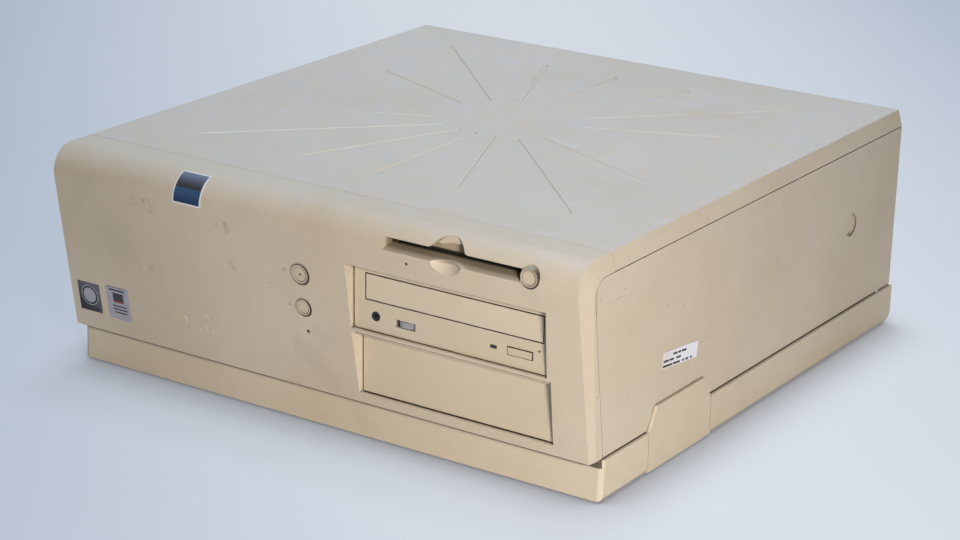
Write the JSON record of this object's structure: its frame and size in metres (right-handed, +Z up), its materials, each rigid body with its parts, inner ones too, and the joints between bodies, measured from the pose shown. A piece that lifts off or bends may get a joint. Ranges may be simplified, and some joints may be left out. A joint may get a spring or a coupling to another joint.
{
  "type": "vintage home computer",
  "caption": "Low beige desktop computer with a lift-up cover, diskette slot, disc drive with sliding tray, push buttons and a recessed base.",
  "frame": {"origin": "on the surface it stands on, under the middle of its overall width and depth", "axes": "+X to the right seen from the front, front faces -Y, +Z up"},
  "size_m": [0.4306, 0.4378, 0.1635],
  "materials": {
    "case_plastic": "finely textured warm beige, slightly yellowed",
    "drive_plastic": "smooth beige",
    "black_plastic": "satin",
    "rubber": "matt",
    "sheet_steel": "galvanised sheet, satin",
    "dark_metal": "satin dark grey",
    "cast_metal": "cast, satin",
    "bright_metal": "plated, satin",
    "fin_metal": "extruded, satin",
    "brass": "bright",
    "board": "green solder resist, satin",
    "badge": "silver over deep blue, gloss",
    "label_dark": "printed film, satin",
    "label_pale": "paper",
    "light": "green tinted, gloss",
    "amber_light": "amber tinted, gloss",
    "cable": "grey ribbon, satin",
    "cable_yellow": "leads with a white plug, satin",
    "red_plastic": "gloss"
  },
  "bodies": {
    "chassis": {"base_plinth": "case_plastic", "rubber_feet": "rubber", "chassis_tray": "sheet_steel", "rear_panel": "sheet_steel", "drive_cage": "sheet_steel", "cover_hinge_pins": "bright_metal", "floppy_case": "sheet_steel", "floppy_fascia": "drive_plastic", "cd_case": "sheet_steel", "cd_faceplate": "drive_plastic", "cd_headphone_jack": "black_plastic", "cd_light_lens": "amber_light", "bay_insert": "drive_plastic", "hard_drive": "cast_metal", "hard_drive_bracket": "sheet_steel", "psu_case": "sheet_steel", "psu_fan_guard": "bright_metal", "ac_inlet": "black_plastic", "main_board": "board", "board_standoffs": "brass", "rear_ports": "bright_metal", "riser_board": "board", "riser_bracket": "sheet_steel", "slot_covers": "sheet_steel", "expansion_card": "board", "memory_modules": "board", "processor_cartridge": "black_plastic", "heat_sink": "fin_metal", "clock_battery": "bright_metal", "speaker": "dark_metal", "case_fan_frame": "black_plastic", "control_board": "board", "drive_ribbon": "cable", "power_harness": "cable_yellow"},
    "cover": {"front_bezel": "case_plastic", "top_panel": "case_plastic", "side_panel_left": "case_plastic", "side_panel_right": "case_plastic", "cover_shell": "sheet_steel", "badge_plate": "badge", "corner_labels": "label_dark", "side_label": "label_pale", "side_plug": "case_plastic", "light_lenses": "light"},
    "power_button": {"power_button": "case_plastic", "power_light": "light"},
    "reset_button": {"reset_button": "case_plastic"},
    "floppy_eject_button": {"floppy_eject_button": "case_plastic"},
    "floppy_eject_key": {"floppy_eject_key": "drive_plastic"},
    "floppy_dust_flap": {"floppy_dust_flap": "drive_plastic"},
    "disc_tray": {"cd_tray": "drive_plastic", "cd_tray_door": "drive_plastic"},
    "cd_eject_button": {"cd_eject_button": "drive_plastic"},
    "volume_wheel": {"cd_volume_wheel": "black_plastic"},
    "disc_spindle": {"cd_spindle": "black_plastic"},
    "supply_fan": {"psu_fan_rotor": "black_plastic"},
    "case_fan": {"case_fan_rotor": "black_plastic"},
    "voltage_selector": {"voltage_selector": "red_plastic"},
    "release_left": {"release_button_left": "case_plastic"},
    "release_right": {"release_button_right": "case_plastic"}
  },
  "joints": [
    {"name": "cover_hinge", "type": "hinge", "parent": "chassis", "child": "cover", "pos_m": [0, 0.20935, 0.1519], "axis": [-1, 0, 0], "range_deg": [0, 75]},
    {"name": "power_button_press", "type": "slide", "parent": "cover", "child": "power_button", "axis": [0, 0.9882, 0.153], "range_m": [0, 0.003], "stiffness_N_per_m": 250},
    {"name": "reset_button_press", "type": "slide", "parent": "cover", "child": "reset_button", "axis": [0, 0.9882, 0.153], "range_m": [0, 0.003], "stiffness_N_per_m": 250},
    {"name": "floppy_eject_press", "type": "slide", "parent": "cover", "child": "floppy_eject_button", "axis": [0, 1, 0], "range_m": [0, 0.005], "stiffness_N_per_m": 200},
    {"name": "floppy_key_slide", "type": "slide", "parent": "chassis", "child": "floppy_eject_key", "axis": [0, 1, 0], "range_m": [0, 0.005]},
    {"name": "dust_flap_hinge", "type": "hinge", "parent": "chassis", "child": "floppy_dust_flap", "pos_m": [0.1182, -0.20307, 0.1569], "axis": [1, 0, 0], "range_deg": [0, 75], "stiffness_Nm_per_rad": 0.001},
    {"name": "disc_tray_slide", "type": "slide", "parent": "chassis", "child": "disc_tray", "axis": [0, -1, 0], "range_m": [0, 0.135]},
    {"name": "cd_eject_press", "type": "slide", "parent": "chassis", "child": "cd_eject_button", "axis": [0, 1, 0], "range_m": [0, 0.0015], "stiffness_N_per_m": 200},
    {"name": "volume_wheel_turn", "type": "hinge", "parent": "chassis", "child": "volume_wheel", "pos_m": [0.076, -0.1979, 0.0932], "axis": [0, 0, 1], "range_deg": [-150, 150]},
    {"name": "disc_spindle_turn", "type": "hinge", "parent": "chassis", "child": "disc_spindle", "pos_m": [0.11235, -0.1313, 0.1025], "axis": [0, 0, 1], "continuous": true},
    {"name": "supply_fan_turn", "type": "hinge", "parent": "chassis", "child": "supply_fan", "pos_m": [0.114, 0.19955, 0.0486], "axis": [0, 1, 0], "continuous": true},
    {"name": "case_fan_turn", "type": "hinge", "parent": "chassis", "child": "case_fan", "pos_m": [-0.08, -0.16967, 0.082], "axis": [0, 1, 0], "continuous": true},
    {"name": "voltage_selector_slide", "type": "slide", "parent": "chassis", "child": "voltage_selector", "axis": [1, 0, 0], "range_m": [0, 0.006]},
    {"name": "release_left_press", "type": "slide", "parent": "chassis", "child": "release_left", "axis": [1, 0, 0], "range_m": [0, 0.004], "stiffness_N_per_m": 400},
    {"name": "release_right_press", "type": "slide", "parent": "chassis", "child": "release_right", "axis": [-1, 0, 0], "range_m": [0, 0.004], "stiffness_N_per_m": 400}
  ],
  "couplings": [
    {"joint": "floppy_key_slide", "follows": "floppy_eject_press", "ratio": 1}
  ]
}
